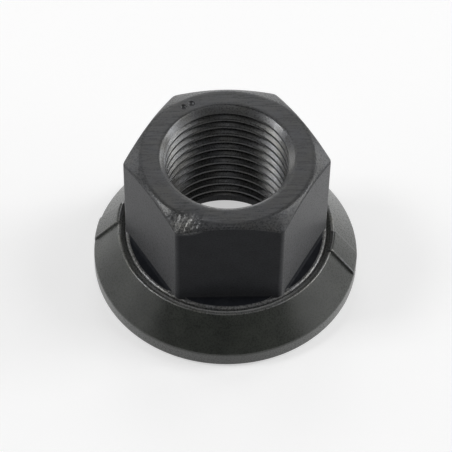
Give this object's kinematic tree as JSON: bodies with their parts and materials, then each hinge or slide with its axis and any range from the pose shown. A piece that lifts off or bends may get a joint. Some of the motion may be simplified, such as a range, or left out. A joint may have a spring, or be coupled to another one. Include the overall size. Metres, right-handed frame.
{
  "type": "wheel nut",
  "caption": "Hexagonal wheel nut with a chamfered top, a threaded through hole and a loose conical pressure plate trapped under it by its flared tail.",
  "frame": {"origin": "on the nut's axis, in the plane of the pressure plate's bearing face", "axes": "+Z along the nut's axis, from the wheel side to the top of the hexagon; +X through a corner of the hexagon, so two flats face +Y and -Y"},
  "size_m": [0.0364, 0.0364, 0.0222],
  "materials": {
    "nut_steel": "dark phosphated steel, satin, forged sides and turned top face",
    "plate_steel": "dark phosphated steel, satin, turned"
  },
  "bodies": {
    "plate": {"pressure_plate": "plate_steel"},
    "nut": {"nut_body": "nut_steel"}
  },
  "joints": [
    {"name": "nut_spin", "type": "hinge", "parent": "plate", "child": "nut", "pos_m": [0, 0, 0.005], "axis": [0, 0, 1], "continuous": true}
  ]
}
